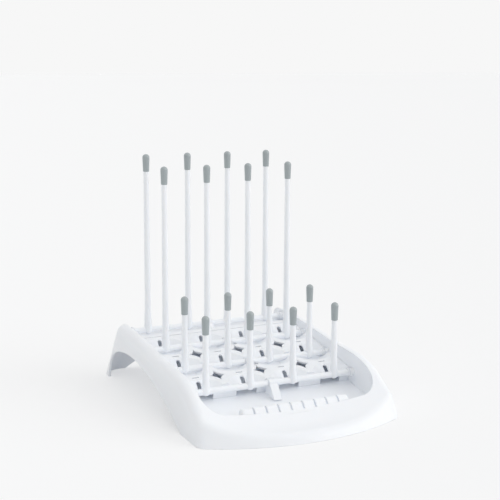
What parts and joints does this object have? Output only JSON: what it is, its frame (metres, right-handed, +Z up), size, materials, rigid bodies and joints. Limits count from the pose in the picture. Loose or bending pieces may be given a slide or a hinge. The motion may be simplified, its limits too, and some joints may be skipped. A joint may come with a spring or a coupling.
{
  "type": "bottle drying rack",
  "caption": "Folding drying rack for bottles: a moulded white basin on an arched base, a draining grate and rows of tall and short upright pegs with soft grey tips.",
  "frame": {"origin": "on the surface the rack stands on, under the middle of its outline", "axes": "+Z up, +X to the right seen from the front, +Y from the front apron to the back legs"},
  "size_m": [0.25, 0.36, 0.287],
  "materials": {
    "white_shell": "satin moulded polypropylene",
    "white_grate": "satin moulded polypropylene",
    "white_pegs": "satin moulded polypropylene",
    "grey_tips": "matt soft elastomer"
  },
  "bodies": {
    "base": {"base_frame": "white_shell", "drain_grate": "white_grate"},
    "fork_front_short_left": {"peg_fork_front_short_left": "white_pegs", "tip_front_short_1": "grey_tips", "tip_front_short_2": "grey_tips"},
    "fork_front_short_right": {"peg_fork_front_short_right": "white_pegs", "tip_front_short_3": "grey_tips", "tip_front_short_4": "grey_tips"},
    "fork_rear_short_left": {"peg_fork_rear_short_left": "white_pegs", "tip_rear_short_1": "grey_tips", "tip_rear_short_2": "grey_tips"},
    "fork_rear_short_right": {"peg_fork_rear_short_right": "white_pegs", "tip_rear_short_3": "grey_tips", "tip_rear_short_4": "grey_tips"},
    "fork_front_tall_left": {"peg_fork_front_tall_left": "white_pegs", "tip_front_tall_1": "grey_tips", "tip_front_tall_2": "grey_tips"},
    "fork_front_tall_right": {"peg_fork_front_tall_right": "white_pegs", "tip_front_tall_3": "grey_tips", "tip_front_tall_4": "grey_tips"},
    "fork_rear_tall_left": {"peg_fork_rear_tall_left": "white_pegs", "tip_rear_tall_1": "grey_tips", "tip_rear_tall_2": "grey_tips"},
    "fork_rear_tall_right": {"peg_fork_rear_tall_right": "white_pegs", "tip_rear_tall_3": "grey_tips", "tip_rear_tall_4": "grey_tips"}
  },
  "joints": [
    {"name": "fold_front_short_left", "type": "hinge", "parent": "base", "child": "fork_front_short_left", "pos_m": [-0.054, -0.068, 0.035], "axis": [1, 0, 0], "range_deg": [0, 80]},
    {"name": "fold_front_short_right", "type": "hinge", "parent": "base", "child": "fork_front_short_right", "pos_m": [0.054, -0.068, 0.035], "axis": [1, 0, 0], "range_deg": [0, 80]},
    {"name": "fold_rear_short_left", "type": "hinge", "parent": "base", "child": "fork_rear_short_left", "pos_m": [-0.054, -0.007, 0.045], "axis": [1, 0, 0], "range_deg": [0, 80]},
    {"name": "fold_rear_short_right", "type": "hinge", "parent": "base", "child": "fork_rear_short_right", "pos_m": [0.054, -0.007, 0.045], "axis": [1, 0, 0], "range_deg": [0, 80]},
    {"name": "fold_front_tall_left", "type": "hinge", "parent": "base", "child": "fork_front_tall_left", "pos_m": [-0.054, 0.054, 0.055], "axis": [1, 0, 0], "range_deg": [0, 80]},
    {"name": "fold_front_tall_right", "type": "hinge", "parent": "base", "child": "fork_front_tall_right", "pos_m": [0.054, 0.054, 0.055], "axis": [1, 0, 0], "range_deg": [0, 80]},
    {"name": "fold_rear_tall_left", "type": "hinge", "parent": "base", "child": "fork_rear_tall_left", "pos_m": [-0.054, 0.115, 0.065], "axis": [1, 0, 0], "range_deg": [0, 80]},
    {"name": "fold_rear_tall_right", "type": "hinge", "parent": "base", "child": "fork_rear_tall_right", "pos_m": [0.054, 0.115, 0.065], "axis": [1, 0, 0], "range_deg": [0, 80]}
  ],
  "couplings": [
    {"joint": "fold_front_short_left", "follows": "fold_rear_tall_left", "ratio": 1},
    {"joint": "fold_front_short_right", "follows": "fold_rear_tall_right", "ratio": 1},
    {"joint": "fold_rear_short_left", "follows": "fold_rear_tall_left", "ratio": 1},
    {"joint": "fold_rear_short_right", "follows": "fold_rear_tall_right", "ratio": 1},
    {"joint": "fold_front_tall_left", "follows": "fold_rear_tall_left", "ratio": 1},
    {"joint": "fold_front_tall_right", "follows": "fold_rear_tall_right", "ratio": 1}
  ]
}
